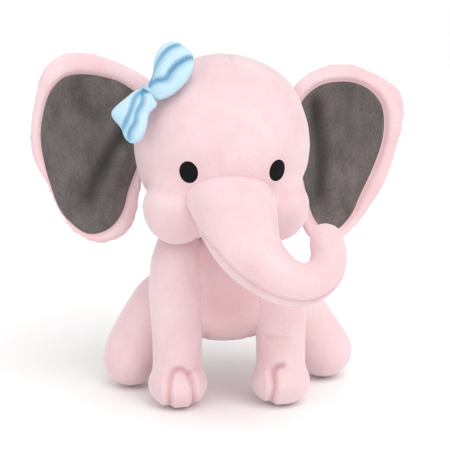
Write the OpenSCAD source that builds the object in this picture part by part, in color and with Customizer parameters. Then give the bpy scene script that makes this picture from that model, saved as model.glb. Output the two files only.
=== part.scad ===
// Seated plush elephant: sewn skins over separate stuffings, with the limbs, ears,
// head, trunk, bow and tail as bodies that bend at their own seams.
// Millimetres, +Z up, face towards -Y, floor at z = 0.

/* [Head] */
// Half width of the head at its widest
head_r = 62; // [60:0.5:63]
// Half height of the head
head_half_h = 65; // [64:0.5:69]
// Radius of each stuffed cheek
cheek_r = 25; // [23:0.5:26]
// How far the head is turned to its own left at rest, in degrees
head_turn = 4; // [0:1:6]

/* [Body] */
// Radius of the dome that the head is sewn round
neck_r = 36; // [34:0.5:36]
// Front leg radius at the shin
shin_r = 17; // [15:0.5:17.5]
// Front foot radius
foot_r = 22; // [20:0.5:22]
// Hind foot radius
hind_foot_r = 23; // [21:0.5:23]

/* [Ears] */
// Thickness of a padded ear
ear_t = 10; // [8:0.5:10]
// Width of the pink rim round the ear lining
rim_w = 15; // [10:1:18]

/* [Fabric] */
// Thickness of the plush fabric
skin_t = 1.5; // [1.2:0.1:1.8]
// Gap left between a skin and its stuffing
fill_gap = 0.2; // [0.1:0.1:0.4]

/* [Hidden] */

$fn = 48;
hull_fn = 28;
play = 0.6;             // running clearance in every cloth ball joint
frame_y = 21.5;           // puts the origin under the middle of the whole toy
pink = "#f3cfd3";
grey = "#6f6765";
blue = "#b5dcf2";
white_fill = "#f5f3ee";

// Ball joints, before frame_y is added
neck = [0, 4, 92];
trunk_root = [0, -60, 150];
shoulder = [36, -28, 79];
hip = [45, 16, 58];
front_foot = [36, -35, 0];
hind_feet = [[74, 23, 19], [-66, 15, 19]];   // left foot, right foot
tail_root = [0, 63, 60];

head_centre = [0, -4, 179];
cheek = [35, -30, 139];
muzzle = [0, -28, 143];
muzzle_r = 28;
trunk_w = 29.4;         // half width of the trunk where it joins the face
trunk_h = 19;           // half height there
bead_r = ear_t / 2 - 1;
shoulder_r = shin_r + 2;
hip_r = 20;
shin_swing = [-9.5, -1.5];
thigh_swing = [1, 9];

// Half profile of the torso under its neck dome: [height, radius]
torso_profile = [[35, 0], [36, 18], [39, 32], [45, 44], [54, 52], [66, 56], [78, 56],
                 [90, 53.5], [99, 49.5], [106, 44], [110, 37], [111.5, 30]];
torso_y = 4;
belly_half_w = 13;

function dot(a, b) = a * b;
function unit(v) = v / norm(v);
function mix(a, b, f) = a + (b - a) * f;
function rot_z(p, a) = [p.x * cos(a) - p.y * sin(a), p.x * sin(a) + p.y * cos(a), p.z];

// Points of a smooth curve through the given points, steps per span
function curve(p, steps, closed = false) =
    let (n = len(p), last = closed ? n - 1 : n - 2)
    concat(
        [for (i = [0:last], s = [0:steps - 1])
            let (f = s / steps,
                 a = p[closed ? (i + n - 1) % n : max(i - 1, 0)],
                 b = p[i],
                 c = p[(i + 1) % n],
                 d = p[closed ? (i + 2) % n : min(i + 2, n - 1)])
            0.5 * (2 * b + (c - a) * f + (2 * a - 5 * b + 4 * c - d) * f * f
                   + (3 * b - a - 3 * c + d) * f * f * f)],
        closed ? [] : [p[n - 1]]);

// ---------- Head ----------

module head_pose() {
    translate([neck.x, neck.y, 0]) rotate([0, 0, head_turn]) translate([-neck.x, -neck.y, 0])
        children();
}

// The dome is a full turned shape; grow moves its surface in or out
module head_dome(grow) {
    r = head_r + grow;
    h = head_half_h + grow;
    translate(head_centre)
        rotate_extrude()
            polygon([for (i = [0:24]) let (a = -90 + i * 7.5) [r * cos(a), h * sin(a)]]);
}

module head_form(grow = 0) {
    head_dome(grow);
    translate(muzzle) sphere(muzzle_r + grow);
    for (s = [-1, 1]) translate([s * cheek.x, cheek.y, cheek.z]) sphere(cheek_r + grow);
}

module head_sockets(extra = 0) {
    translate(neck) sphere(neck_r + 2.4 + extra);
    translate(trunk_root) rotate([0, 90, 0]) rotate_extrude()
        polygon([for (a = [-90:9:90])
            [(trunk_h + 1.5 + extra) * cos(a), (trunk_w + 1.5 + extra) * sin(a)]]);
    for (i = [0, 1]) ear_place(i) ear_root_bead(bead_r + play + extra, 4);
}

module half_space(side) {
    translate([side > 0 ? 0 : -100, -100, 90]) cube([100, 200, 180]);
}

module head_skin(side) {
    color(pink) head_pose() intersection() {
        difference() {
            head_form();
            head_form(-skin_t);
            head_sockets();
        }
        half_space(side);
    }
}

module head_stuffing() {
    color(white_fill) head_pose() difference() {
        head_form(-skin_t - fill_gap);
        head_sockets(1);
    }
}

// Satin-stitch oval: a thin patch that follows the dome
eye_size = [6.7, 7.8];
eye_at = [30, 165];      // sideways and up
module eye(side) {
    color("#101010") head_pose() difference() {
        intersection() {
            head_dome(1);
            translate([side * eye_at.x, -20, eye_at.y]) rotate([0, 0, side * 24])
                rotate([90, 0, 0]) linear_extrude(60)
                    polygon([for (a = [0:12:348]) [eye_size.x * cos(a), eye_size.y * sin(a)]]);
        }
        head_form(0.1);
    }
}

module neck_seam_tape() {
    color(white_fill) translate(neck) rotate_extrude()
        intersection() {
            difference() {
                circle(neck_r + 1.8);
                circle(neck_r + play);
            }
            rotate(38) square([neck_r * 2, 6]);
        }
}

// ---------- Torso ----------

module torso_form(grow = 0) {
    translate([0, torso_y, 0]) rotate_extrude()
        polygon(concat([for (p = torso_profile) [max(p[1] + (p[1] > 0 ? grow : 0), 0),
                                                 p[0] - (p[0] < 40 ? grow : 0)]],
                       [[0, 111.5]]));
    translate(neck) sphere(neck_r + grow);
}

// Room for each leg's ball and for its swing
module leg_sockets(extra = 0) {
    for (s = [-1, 1]) translate([s * shoulder.x, shoulder.y, shoulder.z]) {
        sphere(shoulder_r + play + 0.4 + extra);
        for (a = shin_swing) rotate([a, 0, 0]) translate([0, 0, -60])
            cylinder(r = shin_r + 2.4 + extra, h = 60);
    }
    for (i = [0, 1]) let (f = hind_feet[i], h = [f.x > 0 ? hip.x : -hip.x, hip.y, hip.z]) {
        translate(h) sphere(hip_r + play + 0.9 + extra);
        for (a = thigh_swing) translate(h) rotate([a, 0, 0]) translate(-h)
            thigh_cone(h, f, 2.4 + extra);
    }
}

module torso_shell() {
    difference() {
        torso_form();
        torso_form(-skin_t);
        leg_sockets();
    }
}

module belly_block() {
    translate([-belly_half_w, -100, 0]) cube([2 * belly_half_w, 130, 101]);
}

module torso_skin() {
    color(pink) difference() {
        torso_shell();
        belly_block();
    }
}

module belly_panel() {
    color(pink) intersection() {
        torso_shell();
        belly_block();
    }
}

module torso_stuffing() {
    color(white_fill) difference() {
        torso_form(-skin_t - fill_gap);
        leg_sockets(1);
    }
}

// Ladder stitches that close the back seam after stuffing
module closing_stitches() {
    thread_r = 0.5;
    color(pink) for (z = [70:4:90])
        translate([-2.5, torso_y + lookup(z, torso_profile) + thread_r, z])
            rotate([0, 90, 0]) cylinder(r = thread_r, h = 5, $fn = 16);
}

// Blank folded cloth tab in the side of the back seam
module care_label() {
    label = [0.7, 22, 16];
    color("white") difference() {
        translate([24, 46, 62]) rotate([0, 0, -24]) cube(label);
        torso_form(0.02);
    }
}

// ---------- Legs ----------

module front_leg_form(grow = 0) {
    translate([shoulder.x, shoulder.y, shoulder.z]) sphere(shoulder_r + grow);
    translate([shoulder.x, shoulder.y, 12]) cylinder(r = shin_r + grow, h = shoulder.z - 12);
    front_foot_form(grow);
}

// Round foot with a flat bottom, the side of it a half circle
foot_side_r = 12;
module front_foot_form(grow = 0) {
    translate([front_foot.x, front_foot.y, foot_side_r]) rotate_extrude() {
        translate([foot_r - foot_side_r, 0]) intersection() {
            circle(foot_side_r + grow);
            translate([0, -50]) square([50, 100]);
        }
        translate([0, -foot_side_r - grow])
            square([foot_r - foot_side_r, 2 * (foot_side_r + grow)]);
    }
}

module front_sole_form(extra = 0) {
    translate([front_foot.x, front_foot.y, -extra])
        cylinder(r = foot_r - foot_side_r + 3 + extra, h = skin_t + 2 * extra);
}

// Two pulled threads from the sole to the top of the foot, dividing three toes
module toe_thread(turn, r) {
    translate([front_foot.x, front_foot.y, foot_side_r]) rotate([0, 0, turn])
        translate([foot_r - foot_side_r, 0, 0]) rotate([90, 0, 0])
            rotate([0, 0, -45]) rotate_extrude(angle = 115)
                translate([foot_side_r + r, 0]) circle(r, $fn = 16);
}

toe_turns = [-113, -65];
thread_r = 0.6;

module toe_threads() {
    for (t = toe_turns) toe_thread(t, thread_r);
}

module for_side(side) {
    mirror([side > 0 ? 0 : 1, 0, 0]) children();
}

module front_leg_skin(side) {
    color(pink) for_side(side) difference() {
        front_leg_form();
        front_leg_form(-skin_t);
        front_sole_form(0.1);
    }
}

module front_leg_stuffing(side) {
    color(white_fill) for_side(side) front_leg_form(-skin_t - fill_gap);
}

module front_leg_sole(side) {
    color(pink) for_side(side) front_sole_form();
}

module front_toe_stitches(side) {
    color("#e8aab4") for_side(side) toe_threads();
}

// Tapered thigh between the hip ball and the foot ball
module thigh_cone(h, f, grow = 0) {
    d = f - h;
    turn = atan2(d.y, d.x);
    tilt = acos(d.z / norm(d));
    translate(h) rotate([0, tilt, turn])
        cylinder(r1 = hip_r - 2 + grow, r2 = hind_foot_r - 2 + grow, h = norm(d));
}

function hip_of(f) = [f.x > 0 ? hip.x : -hip.x, hip.y, hip.z];
function sole_r(f) = sqrt(hind_foot_r * hind_foot_r - f.z * f.z);

module hind_leg_form(f, grow = 0) {
    h = hip_of(f);
    translate(h) sphere(hip_r + grow);
    thigh_cone(h, f, grow);
    intersection() {
        translate(f) sphere(hind_foot_r + grow);
        translate([-150, -150, -grow]) cube(300);
    }
}

module hind_sole_form(f, extra = 0) {
    translate([f.x, f.y, -extra])
        cylinder(r = sole_r(f) - 0.5 + extra, h = skin_t + 2 * extra);
}

module above_floor(z = 0) {
    intersection() {
        children();
        translate([-150, -150, z]) cube(300);
    }
}

module hind_leg_skin(f) {
    color(pink) difference() {
        above_floor() hind_leg_form(f);
        above_floor(skin_t) hind_leg_form(f, -skin_t);
        hind_sole_form(f, 0.1);
    }
}

module hind_leg_stuffing(f) {
    color(white_fill) above_floor(skin_t + fill_gap) hind_leg_form(f, -skin_t - fill_gap);
}

module hind_leg_sole(f) {
    color(pink) hind_sole_form(f);
}

// ---------- Tail ----------

tail_end = [0, 72, 26];
tail_r = 4;

module tail_part() {
    d = tail_end - tail_root;
    translate(tail_root) rotate([0, acos(d.z / norm(d)), atan2(d.y, d.x)]) children();
}

module tail_sleeve() {
    color(pink) tail_part() difference() {
        union() {
            cylinder(r = tail_r, h = norm(tail_end - tail_root));
            sphere(tail_r);
        }
        translate([0, 0, 1]) cylinder(r = tail_r - skin_t + 0.3, h = 60);
    }
}

module tail_stuffing() {
    color(white_fill) tail_part() translate([0, 0, 1.2])
        cylinder(r = tail_r - skin_t, h = norm(tail_end - tail_root) - 2);
}

module tail_tuft() {
    color(pink) tail_part() translate([0, 0, norm(tail_end - tail_root) + 0.2])
        rotate_extrude() polygon([[0, 0], [3.4, 0], [6, 4], [6.4, 8], [5, 12], [2.4, 15], [0, 16]]);
}

// ---------- Ears ----------

hinge_top = [56, 10, 217];
hinge_low = [64, 15, 163];
ear_roll = [4, 0];                   // left ear, right ear, in its own plane
dish_centre = [97, -140, 178];
dish_r = 160;

// Front view of the right-hand ear: [outward, up]
ear_edge = [[56, 217], [76, 239], [98, 245], [119, 239], [133, 217], [137, 186],
            [128, 148], [112, 120], [91, 110], [72, 113], [65, 130], [64, 163]];
lining_edge = [[60, 209], [74, 222], [96, 229], [113, 222], [121, 202], [122, 180],
               [114, 152], [102, 134], [88, 126], [75, 129], [69, 142], [67, 168]];
ear_mid = [60, 12.5, 190];

function smaller(edge, by) =
    let (c = [96, 180]) [for (p = edge) p + unit(c - p) * by];

module ear_plate(edge, r_in, r_out) {
    intersection() {
        translate([0, 60, 0]) rotate([90, 0, 0]) linear_extrude(120)
            polygon(curve(edge, 3, true));
        difference() {
            translate(dish_centre) sphere(r_out, $fn = 96);
            translate(dish_centre) sphere(r_in, $fn = 96);
        }
    }
}

module ear_place(i) {
    mirror([i, 0, 0])
        translate(ear_mid) rotate([0, ear_roll[i], 0]) translate(-ear_mid) children();
}

module ear_pose(i) {
    head_pose() ear_place(i) children();
}

// Rolled edge that the ear turns on; over makes it longer at both ends
module ear_root_bead(r, over = 0) {
    d = hinge_top - hinge_low;
    translate(hinge_low) rotate([0, acos(d.z / norm(d)), atan2(d.y, d.x)])
        translate([0, 0, -over]) cylinder(r = r, h = norm(d) + 2 * over);
}

half_t = ear_t / 2;

module ear_back(i) {
    color(pink) ear_pose(i) difference() {
        union() {
            ear_plate(ear_edge, dish_r - half_t, dish_r + half_t);
            ear_root_bead(bead_r);
        }
        ear_plate(smaller(ear_edge, skin_t), dish_r - half_t + skin_t, dish_r + half_t - skin_t);
        ear_plate(lining_edge, dish_r - half_t - 1, dish_r - half_t + skin_t + 0.01);
    }
}

module ear_lining(i) {
    color(grey) ear_pose(i) ear_plate(lining_edge, dish_r - half_t, dish_r - half_t + skin_t);
}

module ear_wadding(i) {
    color(white_fill) ear_pose(i)
        ear_plate(smaller(ear_edge, skin_t + fill_gap),
                  dish_r - half_t + skin_t + fill_gap, dish_r + half_t - skin_t - fill_gap);
}

// ---------- Trunk ----------

// Middle line, half widths and half heights of the trunk, in the unturned head's frame
trunk_line = [[0, -60, 150], [0, -66, 149], [0, -74, 144], [-1, -85, 134], [1, -95, 123],
              [9, -104, 112], [21, -110, 104], [35, -111, 102], [46, -108, 109],
              [48, -104, 121], [47, -101, 130], [47, -100, 134]];
trunk_sizes = [[trunk_w, trunk_h], [28.6, 19], [26.5, 19.2], [23, 19.2], [20, 18.4], [17.2, 17],
               [15, 15], [13, 13], [11.3, 11.3], [10.3, 10.3], [8.6, 8.6], [4.5, 4.5]];
trunk_steps = 3;
// Rings of the round end that turns inside the head
ball_angles = [80:-20:20];
trunk_back = unit([0, 1, 0.05]);
trunk_pts = concat([for (a = ball_angles) trunk_root + trunk_h * sin(a) * trunk_back],
                   curve(trunk_line, trunk_steps));
trunk_rs = concat([for (a = ball_angles) cos(a) * [trunk_w, trunk_h]],
                  curve(trunk_sizes, trunk_steps));
trunk_n = len(trunk_pts);
trunk_dirs = [for (i = [0:trunk_n - 1])
    unit(trunk_pts[min(i + 1, trunk_n - 1)] - trunk_pts[max(i - 1, 0)])];
// Each ring's underside direction, carried along with no twist
trunk_downs = carried([unit([0, 0.2, -1])], 1);
function carried(found, i) = i >= trunk_n ? found
    : let (d = found[i - 1], t = trunk_dirs[i])
      carried(concat(found, [unit(d - dot(d, t) * t)]), i + 1);
gusset_half_angle = 42;

function on_trunk(i, a, inset) =
    let (w = max(trunk_rs[i][0] - inset, 0.3), h = max(trunk_rs[i][1] - inset, 0.3),
         d = trunk_downs[i], s = cross(trunk_dirs[i], d))
    trunk_pts[i] + h * cos(a) * d + w * sin(a) * s;

// Solid swept along the trunk, with the given ring of [angle, inset] points
module trunk_sweep(ring) {
    m = len(ring);
    points = [for (i = [0:trunk_n - 1], q = ring) on_trunk(i, q[0], q[1])];
    sides = [for (i = [0:trunk_n - 2], j = [0:m - 1])
        let (k = (j + 1) % m) [i * m + j, i * m + k, (i + 1) * m + k, (i + 1) * m + j]];
    tris = [for (q = sides, h = [0, 1]) h == 0 ? [q[0], q[1], q[2]] : [q[0], q[2], q[3]]];
    color_safe_polyhedron(points, tris, m);
}

// Caps of the sweep: a ring is two arcs of equal count, so its caps are strips
module color_safe_polyhedron(points, tris, m) {
    last = (trunk_n - 1) * m;
    h = m / 2;
    caps = [for (j = [0:h - 2], e = [0, 1], half = [0, 1])
        let (b = e == 0 ? 0 : last, q = [b + j, b + j + 1, b + m - 2 - j, b + m - 1 - j],
             f = half == 0 ? [q[0], q[2], q[1]] : [q[0], q[3], q[2]])
        e == 0 ? f : [f[2], f[1], f[0]]];
    polyhedron(points, concat(tris, caps));
}

function arc_band(a0, a1, steps, inset) = concat(
    [for (j = [0:steps]) [mix(a0, a1, j / steps), 0]],
    [for (j = [0:steps]) [mix(a1, a0, j / steps), inset]]);

module trunk_skin() {
    color(pink) head_pose()
        trunk_sweep(arc_band(gusset_half_angle, 360 - gusset_half_angle, 16, skin_t));
}

module trunk_gusset() {
    color(pink) head_pose()
        trunk_sweep(arc_band(-gusset_half_angle, gusset_half_angle, 5, skin_t));
}

module trunk_stuffing() {
    ring = [for (a = [0:18:342]) [a, skin_t + fill_gap]];
    color(white_fill) head_pose() trunk_sweep(ring);
}

// ---------- Bow ----------

bow_centre = [-54, -34, 216.5];
bow_along = unit([0.54, 0.08, 0.84]);             // towards the upper loop
bow_out = unit(cross(bow_along, cross([-0.55, -0.72, 0.42], bow_along)));
bow_across = cross(bow_out, bow_along);

module bow_pose() {
    head_pose() translate(bow_centre)
        multmatrix([[bow_along.x, bow_across.x, bow_out.x, 0],
                    [bow_along.y, bow_across.y, bow_out.y, 0],
                    [bow_along.z, bow_across.z, bow_out.z, 0],
                    [0, 0, 0, 1]])
            children();
}

loop_half_w = 12;

// Padded loop: narrow where it is tied, wide and full at its end
module loop_form(reach, side, grow = 0) {
    hull() {
        translate([side * 6.2, 0, 0]) sphere(4.4 + grow, $fn = hull_fn);
        for (s = [-1, 1]) translate([side * reach * 0.7, s * loop_half_w, 0])
            sphere(6 + grow, $fn = hull_fn);
        translate([side * (reach - 6), 0, 1]) sphere(6 + grow, $fn = hull_fn);
    }
}

module bow_loop(reach, side) {
    color(blue) bow_pose() difference() {
        loop_form(reach, side);
        loop_form(reach, side, -1.2);
    }
}

module bow_filling(reach, side) {
    color(white_fill) bow_pose() loop_form(reach, side, -1.4);
}

// Thread shank that sews the knot to the head
module bow_stitch() {
    color(blue) bow_pose() translate([0, 0, -8.6]) cylinder(r = 1.6, h = 3);
}

module bow_tie() {
    color(blue) bow_pose() rotate([0, 90, 0]) rotate_extrude()
        polygon([[0, -1.5], [4.6, -1.5], [5.4, 0], [4.6, 1.5], [0, 1.5]]);
}

upper_reach = 38;
lower_reach = 34;

// ---------- The toy ----------

module toy() {
    torso_skin();
    belly_panel();
    torso_stuffing();
    closing_stitches();
    care_label();
    neck_seam_tape();
    head_skin(1);  // head_skin_left
    head_skin(-1);  // head_skin_right
    head_stuffing();
    eye(1);  // left_eye
    eye(-1);  // right_eye
    trunk_skin();
    trunk_gusset();
    trunk_stuffing();
    bow_loop(upper_reach, 1);  // bow_upper_loop
    bow_loop(lower_reach, -1);  // bow_lower_loop
    bow_filling(upper_reach, 1);  // bow_upper_filling
    bow_filling(lower_reach, -1);  // bow_lower_filling
    bow_tie();
    bow_stitch();
    tail_sleeve();
    tail_stuffing();
    tail_tuft();
    ear_back(0);  // left_ear_back
    ear_back(1);  // right_ear_back
    ear_lining(0);  // left_ear_lining
    ear_lining(1);  // right_ear_lining
    ear_wadding(0);  // left_ear_wadding
    ear_wadding(1);  // right_ear_wadding
    front_leg_skin(1);  // front_left_leg_skin
    front_leg_skin(-1);  // front_right_leg_skin
    front_leg_stuffing(1);  // front_left_leg_stuffing
    front_leg_stuffing(-1);  // front_right_leg_stuffing
    front_leg_sole(1);  // front_left_leg_sole
    front_leg_sole(-1);  // front_right_leg_sole
    front_toe_stitches(1);  // front_left_toe_stitches
    front_toe_stitches(-1);  // front_right_toe_stitches
    hind_leg_skin(hind_feet[0]);  // hind_left_leg_skin
    hind_leg_skin(hind_feet[1]);  // hind_right_leg_skin
    hind_leg_stuffing(hind_feet[0]);  // hind_left_leg_stuffing
    hind_leg_stuffing(hind_feet[1]);  // hind_right_leg_stuffing
    hind_leg_sole(hind_feet[0]);  // hind_left_leg_sole
    hind_leg_sole(hind_feet[1]);  // hind_right_leg_sole
}

translate([0, frame_y, 0]) toy();
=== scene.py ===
# %% [markdown]
# # A seated plush elephant
# A real toy of this kind is a set of closed cloth bags, each blown tight with fibre, sewn to
# each other at a few seams. We build it the same way: every bag is its own piece. Most are
# shaped from overlapping balls, skinned over, blown up by the cloth solver, and then drawn in
# wherever thread holds them down. The trunk is a grown tube, and ears and bow are cut discs.
# The torso, the head, the eyes, the bow and the threads ride on the moving bodies that carry them.

# %% Load the frame
import math
import bmesh
import bpy
import numpy as np
from mathutils import Matrix, Vector
from mathutils.bvhtree import BVHTree


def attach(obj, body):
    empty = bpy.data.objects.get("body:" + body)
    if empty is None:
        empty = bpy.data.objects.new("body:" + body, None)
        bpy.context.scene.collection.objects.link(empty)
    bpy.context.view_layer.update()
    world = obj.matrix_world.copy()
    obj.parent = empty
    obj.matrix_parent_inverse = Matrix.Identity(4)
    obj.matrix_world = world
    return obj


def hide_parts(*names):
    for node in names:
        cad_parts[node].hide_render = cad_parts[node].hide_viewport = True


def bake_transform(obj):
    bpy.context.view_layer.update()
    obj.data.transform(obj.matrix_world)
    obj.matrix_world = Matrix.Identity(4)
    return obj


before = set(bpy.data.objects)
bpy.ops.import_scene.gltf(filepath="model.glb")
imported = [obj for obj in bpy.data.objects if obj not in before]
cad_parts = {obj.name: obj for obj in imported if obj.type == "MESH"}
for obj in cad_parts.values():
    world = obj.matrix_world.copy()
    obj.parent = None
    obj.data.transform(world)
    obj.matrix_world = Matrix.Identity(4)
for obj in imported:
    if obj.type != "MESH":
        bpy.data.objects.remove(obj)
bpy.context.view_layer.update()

# %% [markdown]
# All sizes below are in millimetres, measured from the middle of the body at floor level, with
# the face towards -Y. `at` turns such a place into the frame's metres. The head is sewn on a
# few degrees turned, so everything on it is made straight and then turned about the neck.

# %% Places
MM = 0.001
MIDDLE_Y = 21.5


def at(x, y, z):
    return Vector((x, y + MIDDLE_Y, z)) * MM


neck = at(0, 4, 92)
HEAD_TURN_DEG = 4
head_turn = (Matrix.Translation(neck) @ Matrix.Rotation(math.radians(HEAD_TURN_DEG), 4, "Z")
             @ Matrix.Translation(-neck))
print("neck pivot (m):", tuple(round(c, 4) for c in neck))

# %% [markdown]
# ## Camera
# A toy this small is looked at from arm's length and a little above. A long lens keeps the big
# head from bulging towards us.

# %% Camera
eye_level, sideways, reach = math.radians(10), math.radians(-5), 800
look_at = at(0, 0, 121)
away = Vector((math.sin(sideways) * math.cos(eye_level), -math.cos(sideways) * math.cos(eye_level),
               math.sin(eye_level)))
camera_data = bpy.data.cameras.new("camera")
camera_data.lens = 90
camera_data.sensor_width = 36
camera_data.clip_start = 0.05
camera = bpy.data.objects.new("camera", camera_data)
bpy.context.collection.objects.link(camera)
camera.location = look_at + away * reach * MM
camera.rotation_mode = "QUATERNION"
camera.rotation_quaternion = (-away).to_track_quat("-Z", "Y")
bpy.context.scene.camera = camera
print("camera (m):", tuple(round(c, 3) for c in camera.location))

# %% [markdown]
# ## Short-pile plush
# The skin is a knitted cloth with a two-millimetre pile, brushed soft. Up close it shows three
# things: a pale bloom at grazing angles where we see the tips of the pile, broad patches where
# the pile was stroked one way or another, and a fine grain of separate tufts. Sheen gives the
# bloom, a slow noise the patches, and a fast noise with a bump the tufts. Shade is painted into
# folds, seams and hollows: each piece carries a `fold` attribute that darkens the colour there.

# %% Shader helpers
TUFT_SCALE = 1100


def add_node(tree, kind, **settings):
    node = tree.nodes.new(kind)
    for key, value in settings.items():
        setattr(node, key, value)
    return node


def noise(tree, coords, scale, detail, roughness=0.5):
    node = add_node(tree, "ShaderNodeTexNoise")
    node.inputs["Scale"].default_value = scale
    node.inputs["Detail"].default_value = detail
    node.inputs["Roughness"].default_value = roughness
    tree.links.new(coords, node.inputs["Vector"])
    return node.outputs["Fac"]


def blend_colours(tree, factor, low, high, start=0.3, end=0.7):
    ramp = add_node(tree, "ShaderNodeValToRGB")
    ramp.color_ramp.elements[0].position = start
    ramp.color_ramp.elements[1].position = end
    ramp.color_ramp.elements[0].color = (*low, 1)
    ramp.color_ramp.elements[1].color = (*high, 1)
    tree.links.new(factor, ramp.inputs["Fac"])
    return ramp.outputs["Color"]


def multiply(tree, factor, a, b):
    mix = add_node(tree, "ShaderNodeMix", data_type="RGBA", blend_type="MULTIPLY")
    mix.inputs["Factor"].default_value = factor
    tree.links.new(a, mix.inputs["A"])
    tree.links.new(b, mix.inputs["B"])
    return mix.outputs["Result"]


def add_bump(tree, height, strength, distance):
    """Raises and lowers the surface's shading by the height; the distance is in metres."""
    bump = add_node(tree, "ShaderNodeBump")
    bump.inputs["Strength"].default_value = strength
    bump.inputs["Distance"].default_value = distance
    tree.links.new(height, bump.inputs["Height"])
    tree.links.new(bump.outputs["Normal"], tree.nodes["Principled BSDF"].inputs["Normal"])


def new_finish(name):
    """An empty material, with its tree, its shader and the Object coordinates."""
    material = bpy.data.materials.new(name)
    material.use_nodes = True
    tree = material.node_tree
    coords = add_node(tree, "ShaderNodeTexCoord").outputs["Object"]
    return material, tree, tree.nodes["Principled BSDF"], coords


# %% Plush material
def plush(name, light, dark, shade_colour, bloom, sheen=0.5, tuft=0.35, stretch=(1, 1, 1),
          patch_scale=38, grain_dark=0.9):
    material, tree, shader, coords = new_finish(name)
    mapping = add_node(tree, "ShaderNodeMapping")
    mapping.inputs["Scale"].default_value = stretch
    tree.links.new(coords, mapping.inputs["Vector"])
    patches = noise(tree, mapping.outputs["Vector"], patch_scale, 4, 0.55)
    tufts = noise(tree, mapping.outputs["Vector"], TUFT_SCALE, 2, 0.6)
    stroked = blend_colours(tree, patches, dark, light)
    grain = blend_colours(tree, tufts, (grain_dark,) * 3, (1, 1, 1), 0.35, 0.6)
    # Painted shade: the `fold` attribute mixes the colour towards the shade colour in folds and
    # hollows.
    shade_mix = add_node(tree, "ShaderNodeMix", data_type="RGBA")
    shade_mix.inputs["B"].default_value = (*shade_colour, 1)
    fold = add_node(tree, "ShaderNodeAttribute", attribute_name="fold")
    tree.links.new(fold.outputs["Fac"], shade_mix.inputs["Factor"])
    tree.links.new(multiply(tree, 0.6, stroked, grain), shade_mix.inputs["A"])
    tree.links.new(shade_mix.outputs["Result"], shader.inputs["Base Color"])
    add_bump(tree, tufts, tuft, 0.0005)
    shader.inputs["Roughness"].default_value = 0.95
    shader.inputs["Specular IOR Level"].default_value = 0.1
    shader.inputs["Sheen Weight"].default_value = sheen
    shader.inputs["Sheen Roughness"].default_value = 0.45
    shader.inputs["Sheen Tint"].default_value = (*bloom, 1)
    print("plush:", name)
    return material


# The third colour of each plush is its painted shade colour for folds, seams and hollows.
pink_plush = plush("pink_plush", (0.84, 0.65, 0.675), (0.80, 0.55, 0.575), (0.66, 0.33, 0.35),
                   (1, 0.95, 0.98), 0.8)
grey_plush = plush("grey_plush", (0.195, 0.170, 0.166), (0.11, 0.098, 0.096),
                   (0.035, 0.034, 0.033), (0.9, 0.88, 0.88), 0.45, tuft=0.9,
                   stretch=(1, 1, 0.5), patch_scale=75, grain_dark=0.55)
blue_plush = plush("blue_plush", (0.60, 0.79, 0.90), (0.48, 0.70, 0.84), (0.13, 0.36, 0.54),
                   (0.93, 0.97, 1), 0.5)

# %% [markdown]
# ## Making a stuffed bag
# A stuffed limb has no flat cloth and no sharp corner. Overlapping balls say where the filling
# is; the Remesh modifier lays one even skin over all of them, and smoothing takes away the
# steps. Even quads also suit the cloth solver, which comes next.

# %% Balls to skin
def chain(stops, steps=7):
    """Balls along a limb, from stops of (x, y, z, radius)."""
    balls = []
    for a, b in zip(stops, stops[1:]):
        balls += [[p + (q - p) * i / steps for p, q in zip(a, b)] for i in range(steps)]
    balls.append(list(stops[-1]))
    return [(x, y, z, r, r, r) for x, y, z, r in balls]


def unit_ball():
    bm = bmesh.new()
    bmesh.ops.create_icosphere(bm, subdivisions=3, radius=1)
    mesh = bpy.data.meshes.new("unit_ball")
    bm.to_mesh(mesh)
    bm.free()
    return mesh


def mirrored(balls):
    return [(-ball[0], *ball[1:]) for ball in balls]


def piece_from(bm, name, material):
    mesh = bpy.data.meshes.new(name)
    bm.to_mesh(mesh)
    bm.free()
    mesh.shade_smooth()
    mesh.materials.append(material)
    piece = bpy.data.objects.new(name, mesh)
    bpy.context.collection.objects.link(piece)
    return piece


def settle(piece):
    """Replaces a piece's mesh by what its modifiers make of it."""
    bpy.context.view_layer.update()
    graph = bpy.context.evaluated_depsgraph_get()
    made = bpy.data.meshes.new_from_object(piece.evaluated_get(graph))
    piece.modifiers.clear()
    old, piece.data = piece.data, made
    bpy.data.meshes.remove(old)
    made.shade_smooth()


def relax(piece, rounds):
    bm = bmesh.new()
    bm.from_mesh(piece.data)
    for _ in range(rounds):
        bmesh.ops.smooth_vert(bm, verts=bm.verts, factor=0.5, use_axis_x=True, use_axis_y=True,
                              use_axis_z=True)
    bm.to_mesh(piece.data)
    bm.free()
    piece.data.shade_smooth()


def skin_over(piece, voxel, rounds):
    skin = piece.modifiers.new("skin", "REMESH")
    skin.mode = "VOXEL"
    skin.voxel_size = voxel * MM
    settle(piece)
    relax(piece, rounds)


def stuffed(name, balls, material, voxel=2.6, rounds=8):
    ball = unit_ball()
    bm = bmesh.new()
    for x, y, z, rx, ry, rz in balls:
        placed = ball.copy()
        stretch = Matrix.Diagonal((rx * MM, ry * MM, rz * MM, 1))
        placed.transform(Matrix.Translation(at(x, y, z)) @ stretch)
        bm.from_mesh(placed)
        bpy.data.meshes.remove(placed)
    bpy.data.meshes.remove(ball)
    piece = piece_from(bm, name, material)
    skin_over(piece, voxel, rounds)
    print(name, "skin faces:", len(piece.data.polygons))
    return piece


# %% [markdown]
# The cloth solver then pushes the skin out from inside, as filling does. Points that thread
# holds are pinned, so the cloth swells between the seams and stays low on them, which is what
# makes a sewn toy look sewn. A cap on the travel keeps the toy's size. In practice the ears gain
# about a millimetre and the head a quarter of one, while the torso and the legs hardly move,
# so their fullness is that of the balls they were skinned over.

# %% Points of a skin
def points_of(piece):
    flat = np.empty(len(piece.data.vertices) * 3)
    piece.data.vertices.foreach_get("co", flat)
    return flat.reshape(-1, 3)


def set_points(piece, points):
    piece.data.vertices.foreach_set("co", np.asarray(points, float).ravel())
    piece.data.update()


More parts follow.
